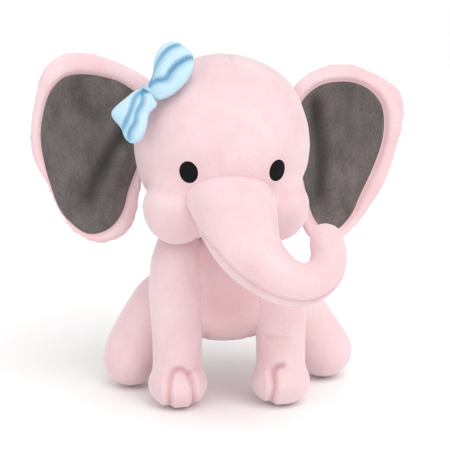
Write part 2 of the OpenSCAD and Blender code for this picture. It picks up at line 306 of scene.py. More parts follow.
def normals_of(piece):
    flat = np.empty(len(piece.data.vertices) * 3)
    piece.data.vertex_normals.foreach_get("vector", flat)
    return flat.reshape(-1, 3)


# %% Filling with the cloth solver
FIRM, FULL, SOFT = 16, 10, 4


def fill_up(piece, cap, pressure, held=None, frames=20):
    """Blows the skin up; no point moves more than cap (mm), and held points stay."""
    start = points_of(piece)
    cloth = piece.modifiers.new("filling", "CLOTH")
    settings = cloth.settings
    settings.mass = 0.0006
    settings.use_pressure = True
    settings.uniform_pressure_force = pressure
    settings.effector_weights.gravity = 0
    settings.tension_stiffness = settings.compression_stiffness = 12
    settings.bending_stiffness = 0.6
    settings.air_damping = 3
    cloth.point_cache.frame_end = frames
    if held is not None and held.any():
        group = piece.vertex_groups.new(name="held")
        group.add([int(i) for i in np.flatnonzero(held)], 1.0, "REPLACE")
        settings.vertex_group_mass = "held"
    scene = bpy.context.scene
    for step in range(1, frames + 1):
        scene.frame_set(step)
    graph = bpy.context.evaluated_depsgraph_get()
    filled = piece.evaluated_get(graph).data
    flat = np.empty(len(filled.vertices) * 3)
    filled.vertices.foreach_get("co", flat)
    travel = flat.reshape(-1, 3) - start
    length = np.linalg.norm(travel, axis=1)
    travel *= np.minimum(1, cap * MM / np.maximum(length, 1e-9))[:, None]
    piece.modifiers.clear()
    piece.vertex_groups.clear()
    scene.frame_set(1)
    set_points(piece, start + travel)
    length /= MM
    print(piece.name, "filling moved the skin (mm): mean", round(float(length.mean()), 2),
          "most", round(float(length.max()), 2))


# %% [markdown]
# After the filling the skin is divided once more, so that it is fine enough for details. A
# seam, a pulled thread or a fold is then drawn in along its line: points near the line sink
# along their own normals, and a little swell on each side shows the filling being squeezed out.
# Shade is also painted along the line, by darkening the colour there.

# %% Lines on the skin
def divide(piece, levels=1):
    finer = piece.modifiers.new("finer", "SUBSURF")
    finer.levels = finer.render_levels = levels
    settle(piece)


def away_from_line(points, line):
    """Distance from each point to a line of stops, in space or in a flat view."""
    best = np.full(len(points), 1e9)
    stops = np.array([tuple(p) for p in line])
    for a, b in zip(stops, stops[1:]):
        along = b - a
        f = np.clip((points - a) @ along / max(along @ along, 1e-12), 0, 1)
        best = np.minimum(best, np.linalg.norm(points - a - f[:, None] * along, axis=1))
    return best


# %% Drawing in
def paint_shade(piece, amount):
    """Adds painted shade: raises the piece's `fold` attribute, which darkens the plush colour
    there.
    """
    store = piece.data.attributes.get("fold") or piece.data.attributes.new("fold", "FLOAT", "POINT")
    kept = np.empty(len(piece.data.vertices), np.float32)
    store.data.foreach_get("value", kept)
    store.data.foreach_set("value", np.clip(kept + amount, 0, 1).astype(np.float32))


def draw_in(piece, distance, width, depth, swell=0.0, where=None):
    """Sinks the skin where distance (m) is small, and paints shade along the sunk line; width and
    depth are in mm.
    """
    u = distance / (width * MM)
    move = -depth * np.exp(-u * u) + swell * np.exp(-((u - 2.2) / 1.1) ** 2)
    # Painted shade along the sunk line, darker for a deeper line.
    shade = max(min(depth * 0.22, 0.6), 0) * np.exp(-1.3 * u * u)
    if where is not None:
        move, shade = move * where, shade * where
    paint_shade(piece, shade)
    set_points(piece, points_of(piece) + normals_of(piece) * move[:, None] * MM)


# %% Laying a line on the skin
def tree_of(piece):
    """A quick search tree over the piece's own mesh as it is now."""
    mesh = piece.data
    corners = [vertex.co for vertex in mesh.vertices]
    return BVHTree.FromPolygons(corners, [face.vertices[:] for face in mesh.polygons])


def seen_from_front(piece, stops, steps=6):
    """Distance in mm from the skin to a line of (x, z) stops, as the front view shows it."""
    line = smooth_path([Vector(stop) for stop in stops], steps)
    return away_from_line(millimetres(piece)[:, [0, 2]], line)


def on_skin(piece, stops, steps=8):
    """A smooth line through the stops, laid on the piece's skin."""
    tree = tree_of(piece)
    return [tree.find_nearest(p)[0] for p in smooth_path([Vector(s) for s in stops], steps)]


def smooth_path(stops, steps):
    path = []
    for i in range(len(stops) - 1):
        a, b = stops[max(i - 1, 0)], stops[i]
        c, d = stops[i + 1], stops[min(i + 2, len(stops) - 1)]
        for k in range(steps):
            f = k / steps
            path.append(0.5 * (2 * b + (c - a) * f + (2 * a - 5 * b + 4 * c - d) * f * f
                               + (3 * b - a - 3 * c + d) * f ** 3))
    return path + [stops[-1]]


# %% Where an effect holds
def fade(values, start, end):
    """0 before start, 1 after end, smooth between."""
    t = np.clip((values - start) / (end - start), 0, 1)
    return t * t * (3 - 2 * t)


def millimetres(piece):
    """The piece's points in the elephant's own millimetres."""
    return points_of(piece) / MM - np.array([0, MIDDLE_Y, 0])


def sit_flat(piece, height=0.4, depth=4, sunk=3):
    """Presses the underside, `sunk` mm too low, onto the floor, as the toy's weight does."""
    points = points_of(piece)
    z = points[:, 2] / MM
    soft = height + (depth - height) * np.clip((z + sunk) / (depth + sunk), 0, 1) ** 2
    points[:, 2] = np.where(z < depth, np.maximum(soft, height), z) * MM
    set_points(piece, points)


# %% [markdown]
# ## Torso
# The torso is one barrel of cloth, full at the belly and narrow under the head. On the real toy
# a belly panel is let in between the front legs; its two seams show only low on the belly.

# %% Torso
torso = stuffed("torso_plush", [
    (0, 7, 75, 54, 50, 37), (0, 3, 66, 50, 49, 27), (-3, 2, 88, 46, 44, 32),
    (-4, 2, 104, 38, 40, 22), (0, 14, 62.5, 50, 48, 28)], pink_plush, 3.0, 12)
PANEL_EDGE, SEAM_HALF = 15, 1.4
skin = millimetres(torso)
on_seam = (np.abs(np.abs(skin[:, 0]) - PANEL_EDGE) < SEAM_HALF) & (skin[:, 1] < 10)
on_back = (np.abs(skin[:, 0]) < SEAM_HALF) & (skin[:, 1] > 20)
fill_up(torso, 2.0, FIRM, on_seam | on_back)
divide(torso)

# %% Seams of the torso
skin = millimetres(torso)
chest = fade(-skin[:, 1], -8, 4) * fade(-skin[:, 2], -62, -50)
draw_in(torso, np.abs(np.abs(skin[:, 0]) - PANEL_EDGE) * MM, 1.4, 0.5, 0.1, chest)
draw_in(torso, np.abs(skin[:, 0]) * MM, 1.5, 1.0, 0.3, fade(skin[:, 1], 12, 24))
# Painted shade on the chest and belly between the front legs, under the head.
paint_shade(torso, 0.3 * fade(-skin[:, 1], 0, 25) * fade(26 - np.abs(skin[:, 0]), 0, 14))
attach(torso, "torso")
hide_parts("torso_skin", "belly_panel", "torso_stuffing", "neck_seam_tape")
print("torso faces:", len(torso.data.polygons))

# %% [markdown]
# ## Front legs
# Each front leg is a column that flares into a round foot. Its own left leg is sewn on lower and
# further in than the right one, so that the curl of the trunk stands clear of it. A lathe would
# make both too even, so a chain of balls is skinned over, as for the torso.

# %% Front legs
leg_tops = {1: [(24, -12, 102, 14), (30.5, -20, 91, 17.5), (34.5, -26, 79, 19.3)],
            -1: [(30, -12, 107, 20), (34, -20, 96, 20.5), (35.5, -26, 80, 20.3)]}


def front_leg(side, name):
    column = chain(leg_tops[side] + [(36, -30, 62, 18.6), (36, -33, 42, 17.4), (36, -34, 28, 17.6)])
    foot = [(36, -35, 16, 21.5, 20.5, 16), (36, -40, 14.5, 18.5, 15, 14), (36, -34, 8, 17.5, 15, 8)]
    balls = column + foot
    leg = stuffed(name, balls if side > 0 else mirrored(balls), pink_plush, 2.4, 6)
    fill_up(leg, 1.6, FIRM)
    divide(leg)
    return leg


front_left = front_leg(1, "front_left_leg_plush")
front_right = front_leg(-1, "front_right_leg_plush")

# %% [markdown]
# A thread pulled from the sole over the top of the foot and back squeezes out the toes. They are
# drawn in after the filling, since a line narrower than the remeshing step would be lost.

# %% Toe lines, sideways and up
toe_stops = {
    "right": [[(-42, 0), (-42.5, 9), (-42.8, 18), (-42, 25), (-39.8, 29.2), (-36, 30.8),
               (-32, 29.8), (-28.5, 26), (-26.2, 19.5), (-25.8, 10), (-26, 0)],
              [(-28.5, 26.5), (-25, 28.6), (-21, 29.4)]],
    "left": [[(27.5, 0), (28, 10), (28.8, 18), (28.3, 24), (28.9, 28), (31.5, 30.6), (35, 31.6)]]}
toe_middles = {"right": (-34.3, 14), "left": (40, 15)}
TOE_FRONT = (36, 44)
print("toe lines:", {side: len(lines) for side, lines in toe_stops.items()})

# %% Toes
toe_paths = {}
for leg, side in ((front_right, "right"), (front_left, "left")):
    for stops, strength in zip(toe_stops[side], (1, 0.35)):
        skin = millimetres(leg)
        in_front = fade(-skin[:, 1], *TOE_FRONT) * fade(skin[:, 2], -1, 6)
        near = seen_from_front(leg, stops) * MM
        draw_in(leg, near, 1.9, 2.7 * strength, 0.7 * strength, in_front)
    skin = millimetres(leg)
    near = np.linalg.norm(skin[:, [0, 2]] - np.array(toe_middles[side]), axis=1)
    draw_in(leg, near * MM, 7.5, -1.5, 0, fade(-skin[:, 1], *TOE_FRONT))
    toe_line = toe_stops[side][0][1:]
    before = [at(x, -56 + max(z - 20, 0) * 0.5, z) for x, z in toe_line]
    toe_paths[leg.name] = on_skin(leg, before)
    sit_flat(leg)
    print(leg.name, "toe line stops:", len(toe_paths[leg.name]))

# %% Creases of the front legs
ankle = on_skin(front_left, [at(24, -44, 50), at(30, -50, 50.5), at(38, -51, 50)])
draw_in(front_left, away_from_line(points_of(front_left), ankle), 1.6, 0.8, 0.3)
armpit = on_skin(front_right, [at(-29, -42, 110), at(-27, -44, 100), at(-25, -44, 90),
                               at(-21, -42, 78)])
draw_in(front_right, away_from_line(points_of(front_right), armpit), 1.8, 0.35, 0.05)
for leg, side in ((front_left, "left"), (front_right, "right")):
    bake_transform(leg)
    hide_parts(f"front_{side}_leg_skin", f"front_{side}_leg_stuffing",
                f"front_{side}_leg_sole")
    print(leg.name, "faces:", len(leg.data.polygons))

# %% [markdown]
# The thread itself is a thin cord of the skin's colour, lying at the bottom of each groove. A
# bezier curve with a round section, made into a mesh, follows the groove closely.

# %% Thread finish
def thread_material(name, colour):
    material, tree, shader, coords = new_finish(name)
    plies = add_node(tree, "ShaderNodeTexWave", wave_type="BANDS", bands_direction="DIAGONAL")
    plies.inputs["Scale"].default_value = 900
    tree.links.new(coords, plies.inputs["Vector"])
    shade = tuple(c * 0.8 for c in colour)
    twisted = blend_colours(tree, plies.outputs["Fac"], shade, colour)
    tree.links.new(twisted, shader.inputs["Base Color"])
    add_bump(tree, plies.outputs["Fac"], 0.5, 0.0002)
    shader.inputs["Roughness"].default_value = 0.6
    return material


pink_thread = thread_material("pink_thread", (0.80, 0.50, 0.54))


# %% A thread along a path
def thread(name, paths, radius, material):
    """Round threads along paths of places in metres; the radius is in mm."""
    data = bpy.data.curves.new(name, "CURVE")
    data.dimensions = "3D"
    data.bevel_depth = radius * MM
    data.bevel_resolution = 3
    data.use_fill_caps = True
    for path in paths:
        spline = data.splines.new("POLY")
        spline.points.add(len(path) - 1)
        for point, place in zip(spline.points, path):
            point.co = (*place, 1)
    wire = bpy.data.objects.new(name + "_line", data)
    bpy.context.collection.objects.link(wire)
    bpy.context.view_layer.update()
    graph = bpy.context.evaluated_depsgraph_get()
    mesh = bpy.data.meshes.new_from_object(wire.evaluated_get(graph))
    bpy.data.objects.remove(wire)
    mesh.name = name
    mesh.shade_smooth()
    mesh.materials.clear()
    mesh.materials.append(material)
    piece = bpy.data.objects.new(name, mesh)
    bpy.context.collection.objects.link(piece)
    return piece


# %% Toe threads
for leg, side in ((front_left, "left"), (front_right, "right")):
    tree = tree_of(leg)
    found = [tree.find_nearest(p)[:2] for p in toe_paths[leg.name]]
    bedded, toe_thread = 0.08, 0.16
    laid = [[place - facing * bedded * MM for place, facing in found]]
    stitches = thread(f"front_{side}_toe_thread", laid, toe_thread, pink_thread)
    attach(stitches, f"front_{side}_leg")
    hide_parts(f"front_{side}_toe_stitches")
    print(stitches.name, len(laid), "threads")

# %% [markdown]
# ## Hind legs
# The hind legs are short drumsticks that lie out to the sides. They start wide, deep inside the
# torso, so that the cloth seems to flow out of the flank.

# %% Hind legs
def hind_leg(name, stops, foot):
    leg = stuffed(name, chain(stops) + foot, pink_plush, 2.6, 8)
    fill_up(leg, 1.8, FIRM)
    divide(leg)
    sit_flat(leg)
    return leg


hind_left = hind_leg(
    "hind_left_leg_plush",
    [(36, 14, 68, 24), (46, 16, 58, 26), (58, 19, 42, 25), (70, 22, 27, 23.5)],
    [(76, 23, 21, 22, 24, 21)])
hind_right = hind_leg(
    "hind_right_leg_plush",
    [(-34, 13, 68, 24), (-43, 14, 58, 26), (-54, 15, 42, 25), (-64, 15, 27, 23.5)],
    [(-68, 14, 21, 21, 24, 21)])
for leg, side, way in ((hind_left, "left", 1), (hind_right, "right", -1)):
    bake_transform(leg)
    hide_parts(f"hind_{side}_leg_skin", f"hind_{side}_leg_stuffing", f"hind_{side}_leg_sole")
    print(leg.name, "faces:", len(leg.data.polygons))

# %% [markdown]
# ## Head
# The head is by far the largest bag: a tall dome with a full cheek low on each side and a
# muzzle between them. The cheeks meet the dome in a soft valley below each eye.

# %% Head
left_cheek, right_cheek = (30, -30, 139.5, 24, 25, 26), (-37, -29, 140, 25, 26, 27)
dome, brow = (-3.2, -4, 179, 62.3, 61.5, 63.5), (0, -3, 196, 55, 54, 45)
muzzle, jaw = (0, -26, 142, 46, 30, 28), (0, 0, 140, 46, 44, 27)
head = stuffed("head_plush", [dome, brow, left_cheek, right_cheek, muzzle, jaw],
               pink_plush, 2.8, 7)
skin = millimetres(head)
crown = (np.abs(skin[:, 0]) < 1.5) & (skin[:, 2] > 150) & ((skin[:, 1] > -28) | (skin[:, 2] < 0))
fill_up(head, 1.5, FULL, crown)
divide(head)

# %% [markdown]
# The two halves of the head meet in a seam over the crown and down the back. The valleys beside
# the cheeks, and a shallow dip under each eye, are drawn in the same way. The places of the eyes
# are found with rays from the front, so they lie on the skin whatever its shape.

# %% Seams and folds of the head
skin = millimetres(head)
over_crown = fade(skin[:, 1], -42, -36) * fade(skin[:, 2], 120, 135)
draw_in(head, np.abs(skin[:, 0]) * MM, 1.4, 0.7, 0.2, over_crown)
for side in (-1, 1):
    valley = on_skin(head, [at(side * 63, -14, 152), at(side * 52, -36, 153),
                            at(side * 40, -47, 150), at(side * 30, -52, 149)])
    draw_in(head, away_from_line(points_of(head), valley), 4.5, 0.8, 0.2)
head_tree = tree_of(head)
EYE_SIDEWAYS, EYE_UP, BACKWARD = (26.3, -33.5), 166.5, Vector((0, 1, 0))
eye_spots = [head_tree.ray_cast(at(x, -90, EYE_UP), BACKWARD)[0] for x in EYE_SIDEWAYS]
for spot in eye_spots:
    near = np.linalg.norm(points_of(head) - np.array(spot), axis=1)
    draw_in(head, near, 9, 0.9)
print("eyes at (mm):", [tuple(round(c / MM, 1) for c in s) for s in eye_spots])

# %% [markdown]
# ## Eyes
# Each eye is an oval of black satin stitch: close parallel threads over a little padding. A disc
# with a few inset rings is laid onto the finished head, crowned in the middle, with its rim just
# below the pile. The stitch direction is a fine wave in the bump.

# %% Eye thread material
def satin(name, colour):
    material, tree, shader, coords = new_finish(name)
    rows = add_node(tree, "ShaderNodeTexWave", wave_type="BANDS", bands_direction="X")
    rows.inputs["Scale"].default_value = 420
    rows.inputs["Distortion"].default_value = 1.2
    rows.inputs["Detail"].default_value = 2
    tree.links.new(coords, rows.inputs["Vector"])
    pale = tuple(c * 2.2 + 0.004 for c in colour)
    satin_rows = blend_colours(tree, rows.outputs["Fac"], colour, pale)
    tree.links.new(satin_rows, shader.inputs["Base Color"])
    add_bump(tree, rows.outputs["Fac"], 0.35, 0.0002)
    shader.inputs["Roughness"].default_value = 0.6
    shader.inputs["Specular IOR Level"].default_value = 0.12
    return material


black_satin = satin("black_satin", (0.0015, 0.0015, 0.002))


# %% Eyes
EYE_HALF_WIDTH, EYE_HALF_HEIGHT, TUCKED, CROWN = 7.4, 8.1, 0.25, 0.9


def eye(spot, name):
    bm = bmesh.new()
    bmesh.ops.create_circle(bm, cap_ends=True, segments=48, radius=1)
    for _ in range(5):
        middle = max(bm.faces, key=lambda f: len(f.verts))
        bmesh.ops.inset_region(bm, faces=[middle], thickness=0.17, use_boundary=True)
    facing = head_tree.find_nearest(spot)[1]
    facing = Vector((facing.x, facing.y, 0)).normalized()
    across = Vector((0, 0, 1)).cross(facing)
    for vert in bm.verts:
        reach_out = min(vert.co.length, 1)
        place = (spot + across * vert.co.x * EYE_HALF_WIDTH * MM
                 + Vector((0, 0, vert.co.y * EYE_HALF_HEIGHT * MM)))
        hit = head_tree.ray_cast(place + facing * 0.03, -facing)[0]
        lift = -TUCKED
        if reach_out < 1:
            lift += CROWN * (1 - reach_out ** 2) ** 0.6
        vert.co = hit + facing * lift * MM
    bmesh.ops.recalc_face_normals(bm, faces=bm.faces)
    patch = piece_from(bm, name, black_satin)
    thick = patch.modifiers.new("thread", "SOLIDIFY")
    thick.thickness = 0.0005
    thick.offset = -1
    settle(patch)
    patch.data.transform(head_turn)
    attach(patch, "head")
    return patch


head_tree = tree_of(head)
left_eye_patch = eye(eye_spots[0], "left_eye_stitching")
right_eye_patch = eye(eye_spots[1], "right_eye_stitching")
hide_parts("left_eye")
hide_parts("right_eye")
print("eye faces:", len(left_eye_patch.data.polygons))

# %% [markdown]
# ## Trunk
# The trunk is a tapered tube that hangs from the middle of the face, swings to one side and
# curls up at its tip. A ring of points is pushed along its middle line, one extrusion for each
# step. It starts as a wide flattened cap on the face and becomes round. The underside is a
# separate strip, the gusset, with a seam along each edge; curling the trunk twists it sideways.

# %% Middle line and half sizes of the trunk
trunk_stops = [(-5, -40, 148.5), (-5, -52, 147.5), (-5, -62, 145.5), (-4.5, -73, 140.5),
               (-3.5, -84, 132.5),
               (0, -94, 122.5), (8, -102, 112.5), (20, -108, 104), (34, -110, 102), (45, -108, 108),
               (49, -105, 118), (48, -102.5, 127), (47, -101.3, 133), (46.5, -101, 136.2),
               (46.4, -101, 137.6)]
trunk_sizes = [(27, 15), (29.5, 18), (28.6, 18.4), (27, 19), (25.2, 19), (22, 18.6), (18.4, 17.2),
               (15.4, 15), (13.4, 13.2), (12, 11.8), (11.4, 11.2), (10.8, 10.6),
               (8.8, 8.6), (5.6, 5.5), (1.4, 1.4)]
trunk_line = smooth_path([Vector(s) for s in trunk_stops], 5)
trunk_radii = smooth_path([Vector((*s, 0)) for s in trunk_sizes], 5)
print("trunk steps:", len(trunk_line))

# %% Trunk
ring_points = 56
gusset_angle = math.radians(46)
twist_steps, twist_degrees = (8, 24, 36, 48), (0, -56, -56, -40)
seam_lines = {-1: [], 1: []}


def trunk_tube():
    """Extrudes the ring along the middle line, and notes where the two seams run."""
    bm = bmesh.new()
    under = Vector((0, 0.2, -1)).normalized()
    made = bmesh.ops.create_circle(bm, segments=ring_points, radius=1)
    angles = {v: math.atan2(v.co.x, v.co.y) for v in made["verts"]}
    ring, edges = made["verts"], list(bm.edges)
    last = len(trunk_line) - 1

    def rim(a):
        return at(*(middle + side * math.sin(a) * size.x + under * math.cos(a) * size.y))

    for step, (middle, size) in enumerate(zip(trunk_line, trunk_radii)):
        if step:
            grown = bmesh.ops.extrude_edge_only(bm, edges=edges)["geom"]
            fresh = [g for g in grown if isinstance(g, bmesh.types.BMVert)]
            fresh_edges = [g for g in grown if isinstance(g, bmesh.types.BMEdge)
                           and g.verts[0] in fresh and g.verts[1] in fresh]
            angles = {v: angles[next(e.other_vert(v) for e in v.link_edges
                                     if e.other_vert(v) not in fresh)] for v in fresh}
            ring, edges = fresh, fresh_edges
        ahead = (trunk_line[min(step + 1, last)] - trunk_line[max(step - 1, 0)]).normalized()
        under = (under - ahead * under.dot(ahead)).normalized()
        side = ahead.cross(under)
        for vert in ring:
            vert.co = rim(angles[vert])
        twist = math.radians(np.interp(step, twist_steps, twist_degrees))
        for way, line in seam_lines.items():
            line.append(rim(way * gusset_angle + twist))
    tip = bmesh.ops.contextual_create(bm, geom=edges)["faces"]
    bmesh.ops.poke(bm, faces=tip)
    bmesh.ops.recalc_face_normals(bm, faces=bm.faces)
    return piece_from(bm, "trunk_plush", pink_plush)


trunk = trunk_tube()
print("trunk faces:", len(trunk.data.polygons))

# %% [markdown]
# The gusset's seams are drawn in along the lines noted while the tube grew. The trunk is then
# turned with the head.

# %% Trunk seams
divide(trunk)
for way, line in seam_lines.items():
    seam = line[8:-4]
    draw_in(trunk, away_from_line(points_of(trunk), seam), 1.4, 1.2, 0.3)
    print("gusset seam stops:", len(seam))
trunk.data.transform(head_turn)
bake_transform(trunk)
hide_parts("trunk_skin", "trunk_gusset", "trunk_stuffing")

# %% [markdown]
# Everything that needed the straight head is now made, so the head takes its turn too. The turn
# goes into the mesh, and the object itself stays unturned at the origin.

# %% The head takes its turn
head.data.transform(head_turn)
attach(head, "head")
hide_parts("head_skin_left", "head_skin_right", "head_stuffing")
print("head faces:", len(head.data.polygons))

# %% [markdown]
# ## Ears
# An ear is a wide flat pad: a pink back that rolls round the edge to make a rim, sheet wadding,
# and a grey lining let into the front. The lining is stitched down along its edge, so the rim
# stands proud of it. We cut a disc to the ear's outline, give it thickness, skin it and fill it.
# A disc of rings takes any outline, because each ring is a smaller copy of the rim.

# %% Outlines of the ears, outward and up from the middle of the head
ear_edges = {
    "right": [(50, 222), (63, 232), (80, 240), (95, 243), (110, 242.5), (120, 237), (128, 227),
              (133, 210), (136, 193), (136, 177), (132, 164), (126, 152), (121, 138), (114, 125),
              (105, 115.5), (92, 110), (81, 110.5), (71, 115), (64, 123), (60, 140), (57, 160),
              (54, 185), (50, 205)],
    "left": [(50, 218), (61, 227.5), (72.5, 232.5), (84, 234.5), (98.5, 233), (113, 227.5),
             (127, 219.5), (134, 209.5), (136.5, 197), (134, 178), (128.5, 158), (122, 143.5),
             (111, 129), (99.5, 117), (86.5, 107.5), (73, 104), (62, 109), (56, 120), (56, 145),
             (57, 170), (54, 190), (50, 205)]}
lining_edges = {
    "right": [(56, 209), (71, 221), (82, 225), (92, 227), (102.5, 227.5), (112, 225), (121, 214.5),
              (126, 199), (127.7, 185), (126.5, 171), (122.3, 152.5), (116, 134), (107.5, 123.5),
              (98, 117), (88, 117.3), (79, 122.5), (72, 132), (68, 145), (62, 160), (55, 178),
              (53, 196)],
    "left": [(57, 208), (67, 217.5), (77, 221), (90, 221.5), (102, 218.5), (112, 211.5),
             (118, 202), (120, 187), (117.5, 171.5), (110.5, 154), (102, 138), (95, 125),
             (85, 115.5), (75, 113.5), (66, 122), (61, 140), (57, 160), (54, 180), (53, 195)]}


print("ear rim stops:", {side: len(edge) for side, edge in ear_edges.items()})

# %% Working with outlines
def closed_outline(stops, steps=6):
    ring = [Vector((*s, 0)) for s in stops]
    around = smooth_path([ring[-1]] + ring + ring[:2], steps)
    return np.array([(p.x, p.y) for p in around[steps:-steps - 1]])


def inside_by(points, outline):
    """How far points (x, z) are inside an outline, in mm; negative outside."""
    best = np.full(len(points), 1e9)
    inside = np.zeros(len(points), bool)
    for a, b in zip(outline, np.roll(outline, -1, axis=0)):
        along = b - a
        f = np.clip((points - a) @ along / (along @ along), 0, 1)
        best = np.minimum(best, np.linalg.norm(points - a - f[:, None] * along, axis=1))
        cross = (a[1] > points[:, 1]) != (b[1] > points[:, 1])
        rise = b[1] - a[1] if b[1] != a[1] else 1e-9
        inside ^= cross & (points[:, 0] < (b[0] - a[0]) * (points[:, 1] - a[1]) / rise + a[0])
    return np.where(inside, best, -best)


def cut_disc(outline, centre, segments=96, rings=13):
    """A flat disc in x and y whose rim follows the outline."""
    bm = bmesh.new()
    bmesh.ops.create_circle(bm, cap_ends=True, segments=segments, radius=1)
    for _ in range(rings):
        middle = max(bm.faces, key=lambda f: len(f.verts))
        bmesh.ops.inset_region(bm, faces=[middle], thickness=0.94 / rings, use_boundary=True)
    bmesh.ops.poke(bm, faces=[max(bm.faces, key=lambda f: len(f.verts))])
    rays = outline - np.array(centre)
    order = np.argsort(np.arctan2(rays[:, 1], rays[:, 0]))
    turn, far = np.arctan2(rays[order, 1], rays[order, 0]), np.linalg.norm(rays[order], axis=1)
    for vert in bm.verts:
        reach_out = min(vert.co.length, 1)
        rim = np.interp(math.atan2(vert.co.y, vert.co.x), turn, far, period=2 * math.pi)
        way = vert.co.normalized() if reach_out > 1e-6 else Vector()
        vert.co = (centre[0] + way.x * rim * reach_out, centre[1] + way.y * rim * reach_out, 0)
    return bm


ear_folds = {
    "right": [([(70, 186), (80, 169), (90, 152), (95, 141)], 6, 4.6),
              ([(70, 172), (77, 155), (80, 140), (84, 128)], 4, -3.2),
              ([(100, 222), (97, 206), (90, 196)], 5, 2), ([(108, 215), (104, 203)], 4, 1.2)],
    "left": [([(66, 205), (70, 182), (72, 158), (70, 138)], 5, 3.6),
             ([(94, 215), (92, 196), (96, 178)], 7, 1.6)]}
print("ear folds:", {side: len(folds) for side, folds in ear_folds.items()})

# %% The cupped shape of an ear
DISH_RADIUS, DISH_BACK = 160, 140


def ear_depth(x, z):
    """Middle of the ear's thickness, in mm behind the middle of the head."""
    dish = np.sqrt(DISH_RADIUS ** 2 - (x - 97) ** 2 - (z - 178) ** 2) - DISH_BACK
    fold = 5 * np.exp(-((x - 66) / 7) ** 2) * fade(z, 108, 135) * fade(-z, -222, -200)
    return dish + fold


def ear_view(ear, way):
    """The ear's points as (outward, up) in mm, and which of them face forward."""
    at_mm = millimetres(ear)
    flat = np.stack([way * at_mm[:, 0], at_mm[:, 2]], axis=1)
    return flat, at_mm[:, 1] < ear_depth(flat[:, 0], flat[:, 1])


def crowned(bm, outline, edge_width=9):
    """Doubles a disc; gives its raised half, and 0 at the outline to 1 well inside it."""
    shell = bmesh.ops.extrude_face_region(bm, geom=bm.faces[:])["geom"]
    raised = {g for g in shell if isinstance(g, bmesh.types.BMVert)}
    flat = np.array([(v.co.x, v.co.y) for v in bm.verts])
    within = np.clip(inside_by(flat, outline) / edge_width, 0, 1)
    return raised, [math.sqrt(1 - (1 - w) ** 2) for w in within]



def ear_body(side, way):
    outline, lining = closed_outline(ear_edges[side]), closed_outline(lining_edges[side])
    bm = cut_disc(outline, (92, 176))
    raised, fullness = crowned(bm, outline)
    for vert, full in zip(list(bm.verts), fullness):
        x, z, half = vert.co.x, vert.co.y, 1.0 + 3.6 * full
        vert.co = at(way * x, float(ear_depth(x, z)) + (-half if vert in raised else half), z)
    bmesh.ops.recalc_face_normals(bm, faces=bm.faces)
    ear = piece_from(bm, f"{side}_ear_plush", pink_plush)
    skin_over(ear, 2.2, 4)
    flat, front = ear_view(ear, way)
    within = inside_by(flat, lining)
    fill_up(ear, 2.6, SOFT, front & (within > -1.2))
    divide(ear)
    return ear, lining


# %% Rim and folds of an ear
def finish_ear(side, way):
    """Swells the rim, sinks the sewn line, and folds the whole ear backwards."""
    ear, lining = ear_body(side, way)
    flat, front = ear_view(ear, way)
    within = inside_by(flat, lining)
    draw_in(ear, np.abs(within + 6) * MM, 5, -0.8, 0, front * 1.0)
    draw_in(ear, np.maximum(-within, 0) * MM, 1.8, 1.5, 0.2, front * 1.0)
    for stops, width, depth in ear_folds[side]:
        near = seen_from_front(ear, [(way * x, z) for x, z in stops])
        points = points_of(ear)
        points[:, 1] += depth * MM * np.exp(-(near / width) ** 2)
        set_points(ear, points)
    print(ear.name, "faces:", len(ear.data.polygons), "lining edge stops:", len(lining))
    return ear, lining


# %% [markdown]
# The lining is a thin cloth of its own. A flat disc is cut to the lining's outline and laid on
# the finished ear with one ray for each point, so it follows every fold. The pink cloth under it
# is then let back a little, which keeps it from showing through.

# %% Lining of an ear
def ear_lining(side, way, ear, lining):
    tree = tree_of(ear)
    bm = cut_disc(lining, (90, 172), 128, 30)
    flat = np.array([(v.co.x, v.co.y) for v in bm.verts])
    within = inside_by(flat, lining)
    for vert, depth_in in zip(bm.verts, within):
        x, z = vert.co.x, vert.co.y
        place, facing = tree.ray_cast(at(way * x, -60, z), BACKWARD)[:2]
        if place is None:
            place, facing = tree.find_nearest(at(way * x, float(ear_depth(x, z)) - 5, z))[:2]
        lift = -0.3 + 1.3 * float(fade(np.array(depth_in), 0, 2))
        vert.co = place + facing * lift * MM
    bmesh.ops.recalc_face_normals(bm, faces=bm.faces)
    piece = piece_from(bm, f"{side}_ear_lining_cloth", grey_plush)
    # Painted shade along the folds of the lining.
    for stops, width, depth in ear_folds[side]:
        near = seen_from_front(piece, [(way * x, z) for x, z in stops])
        paint_shade(piece, 0.16 * depth * np.exp(-(near / (1.3 * width)) ** 2))
    cloth = piece.modifiers.new("cloth", "SOLIDIFY")
    cloth.thickness = 0.0008
    cloth.offset = -1
    settle(piece)
    divide(piece)
    return piece


# %% Both ears
LET_BACK = np.array([0, 1.6 * MM, 0])
for side, way in (("left", 1), ("right", -1)):
    ear, lining_line = finish_ear(side, way)
    cloth = ear_lining(side, way, ear, lining_line)
    flat, front = ear_view(ear, way)
    covered = front * fade(inside_by(flat, lining_line), 0.5, 3)
    set_points(ear, points_of(ear) + LET_BACK * covered[:, None])
    for piece in (ear, cloth):
        piece.data.transform(head_turn)
        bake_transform(piece)
    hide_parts(f"{side}_ear_back", f"{side}_ear_wadding")
    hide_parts(f"{side}_ear_lining")
    print(cloth.name, "faces:", len(cloth.data.polygons))

# %% [markdown]
# ## Bow
# The bow is two padded loops of light blue plush that meet in a pinch. The cloth is gathered
# there, so deep pleats run out from the pinch and die away towards the rim. Each loop is cut as a
# disc, given a crowned thickness, skinned over, and then its pleats are drawn in.

